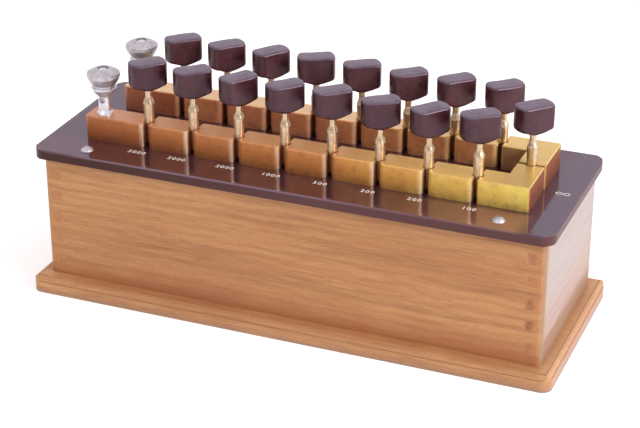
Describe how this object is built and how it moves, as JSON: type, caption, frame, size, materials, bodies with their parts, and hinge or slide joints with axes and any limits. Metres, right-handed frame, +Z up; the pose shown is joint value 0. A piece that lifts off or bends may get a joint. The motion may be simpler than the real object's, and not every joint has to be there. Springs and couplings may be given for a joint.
{
  "type": "plug resistance box",
  "caption": "Wooden case with an ebonite top, two rows of brass blocks bridged by lift-out taper plugs, two screw terminals at one end, coils inside.",
  "frame": {"origin": "middle of the plinth's underside", "axes": "+X along the case from the terminals to the end blocks, +Y from the front to the back, +Z up"},
  "size_m": [0.266, 0.1036, 0.1193],
  "materials": {
    "case_wood": "satin varnished, straight grained, orange tan",
    "ebonite": "polished hard rubber",
    "block_brass": "lacquered brass with a satin polish",
    "pin_brass": "bright turned brass worn by use",
    "nickel": "nickel plate, softly polished",
    "inner_brass": "plain turned brass",
    "bobbin_wood": "waxed boxwood",
    "winding": "silk covered resistance wire under shellac",
    "lead_copper": "tinned copper wire"
  },
  "bodies": {
    "box": {"plinth": "case_wood", "front_wall": "case_wood", "rear_wall": "case_wood", "left_end": "case_wood", "right_end": "case_wood", "top_panel": "ebonite", "front_terminal_block": "block_brass", "rear_terminal_block": "block_brass", "front_row_blocks": "block_brass", "rear_row_blocks": "block_brass", "front_end_block": "block_brass", "rear_end_block": "block_brass", "front_terminal_post": "nickel", "rear_terminal_post": "nickel", "panel_screws": "nickel", "plinth_screws": "inner_brass", "block_studs": "inner_brass", "stud_nuts": "inner_brass", "coil_bobbins": "bobbin_wood", "coil_windings": "winding", "coil_leads": "lead_copper"},
    "front_washer": {"front_terminal_washer": "nickel"},
    "front_nut": {"front_terminal_nut": "nickel"},
    "rear_washer": {"rear_terminal_washer": "nickel"},
    "rear_nut": {"rear_terminal_nut": "nickel"},
    "front_1_plug": {"front_pin_1": "pin_brass", "front_grip_1": "ebonite"},
    "front_2_plug": {"front_pin_2": "pin_brass", "front_grip_2": "ebonite"},
    "front_3_plug": {"front_pin_3": "pin_brass", "front_grip_3": "ebonite"},
    "front_4_plug": {"front_pin_4": "pin_brass", "front_grip_4": "ebonite"},
    "front_5_plug": {"front_pin_5": "pin_brass", "front_grip_5": "ebonite"},
    "front_6_plug": {"front_pin_6": "pin_brass", "front_grip_6": "ebonite"},
    "front_7_plug": {"front_pin_7": "pin_brass", "front_grip_7": "ebonite"},
    "front_8_plug": {"front_pin_8": "pin_brass", "front_grip_8": "ebonite"},
    "rear_1_plug": {"rear_pin_1": "pin_brass", "rear_grip_1": "ebonite"},
    "rear_2_plug": {"rear_pin_2": "pin_brass", "rear_grip_2": "ebonite"},
    "rear_3_plug": {"rear_pin_3": "pin_brass", "rear_grip_3": "ebonite"},
    "rear_4_plug": {"rear_pin_4": "pin_brass", "rear_grip_4": "ebonite"},
    "rear_5_plug": {"rear_pin_5": "pin_brass", "rear_grip_5": "ebonite"},
    "rear_6_plug": {"rear_pin_6": "pin_brass", "rear_grip_6": "ebonite"},
    "rear_7_plug": {"rear_pin_7": "pin_brass", "rear_grip_7": "ebonite"},
    "rear_8_plug": {"rear_pin_8": "pin_brass", "rear_grip_8": "ebonite"},
    "end_plug": {"end_pin": "pin_brass", "end_grip": "ebonite"}
  },
  "joints": [
    {"name": "front_nut_rise", "type": "slide", "parent": "box", "child": "front_washer", "axis": [0, 0, 1], "range_m": [0, 0.00351]},
    {"name": "front_nut_spin", "type": "hinge", "parent": "front_washer", "child": "front_nut", "pos_m": [-0.1036, -0.02065, 0.105], "axis": [0, 0, 1], "range_deg": [0, 1800]},
    {"name": "rear_nut_rise", "type": "slide", "parent": "box", "child": "rear_washer", "axis": [0, 0, 1], "range_m": [0, 0.00351]},
    {"name": "rear_nut_spin", "type": "hinge", "parent": "rear_washer", "child": "rear_nut", "pos_m": [-0.1036, 0.02035, 0.105], "axis": [0, 0, 1], "range_deg": [0, 1800]},
    {"name": "front_1_plug_pull", "type": "slide", "parent": "box", "child": "front_1_plug", "axis": [0, 0, 1], "range_m": [0, 0.03]},
    {"name": "front_2_plug_pull", "type": "slide", "parent": "box", "child": "front_2_plug", "axis": [0, 0, 1], "range_m": [0, 0.03]},
    {"name": "front_3_plug_pull", "type": "slide", "parent": "box", "child": "front_3_plug", "axis": [0, 0, 1], "range_m": [0, 0.03]},
    {"name": "front_4_plug_pull", "type": "slide", "parent": "box", "child": "front_4_plug", "axis": [0, 0, 1], "range_m": [0, 0.03]},
    {"name": "front_5_plug_pull", "type": "slide", "parent": "box", "child": "front_5_plug", "axis": [0, 0, 1], "range_m": [0, 0.03]},
    {"name": "front_6_plug_pull", "type": "slide", "parent": "box", "child": "front_6_plug", "axis": [0, 0, 1], "range_m": [0, 0.03]},
    {"name": "front_7_plug_pull", "type": "slide", "parent": "box", "child": "front_7_plug", "axis": [0, 0, 1], "range_m": [0, 0.03]},
    {"name": "front_8_plug_pull", "type": "slide", "parent": "box", "child": "front_8_plug", "axis": [0, 0, 1], "range_m": [0, 0.03]},
    {"name": "rear_1_plug_pull", "type": "slide", "parent": "box", "child": "rear_1_plug", "axis": [0, 0, 1], "range_m": [0, 0.03]},
    {"name": "rear_2_plug_pull", "type": "slide", "parent": "box", "child": "rear_2_plug", "axis": [0, 0, 1], "range_m": [0, 0.03]},
    {"name": "rear_3_plug_pull", "type": "slide", "parent": "box", "child": "rear_3_plug", "axis": [0, 0, 1], "range_m": [0, 0.03]},
    {"name": "rear_4_plug_pull", "type": "slide", "parent": "box", "child": "rear_4_plug", "axis": [0, 0, 1], "range_m": [0, 0.03]},
    {"name": "rear_5_plug_pull", "type": "slide", "parent": "box", "child": "rear_5_plug", "axis": [0, 0, 1], "range_m": [0, 0.03]},
    {"name": "rear_6_plug_pull", "type": "slide", "parent": "box", "child": "rear_6_plug", "axis": [0, 0, 1], "range_m": [0, 0.03]},
    {"name": "rear_7_plug_pull", "type": "slide", "parent": "box", "child": "rear_7_plug", "axis": [0, 0, 1], "range_m": [0, 0.03]},
    {"name": "rear_8_plug_pull", "type": "slide", "parent": "box", "child": "rear_8_plug", "axis": [0, 0, 1], "range_m": [0, 0.03]},
    {"name": "end_plug_pull", "type": "slide", "parent": "box", "child": "end_plug", "axis": [0, 0, 1], "range_m": [0, 0.03]}
  ],
  "couplings": [
    {"joint": "front_nut_rise", "follows": "front_nut_spin", "m_per_rad": 0.00011141},
    {"joint": "rear_nut_rise", "follows": "rear_nut_spin", "m_per_rad": 0.00011141}
  ]
}
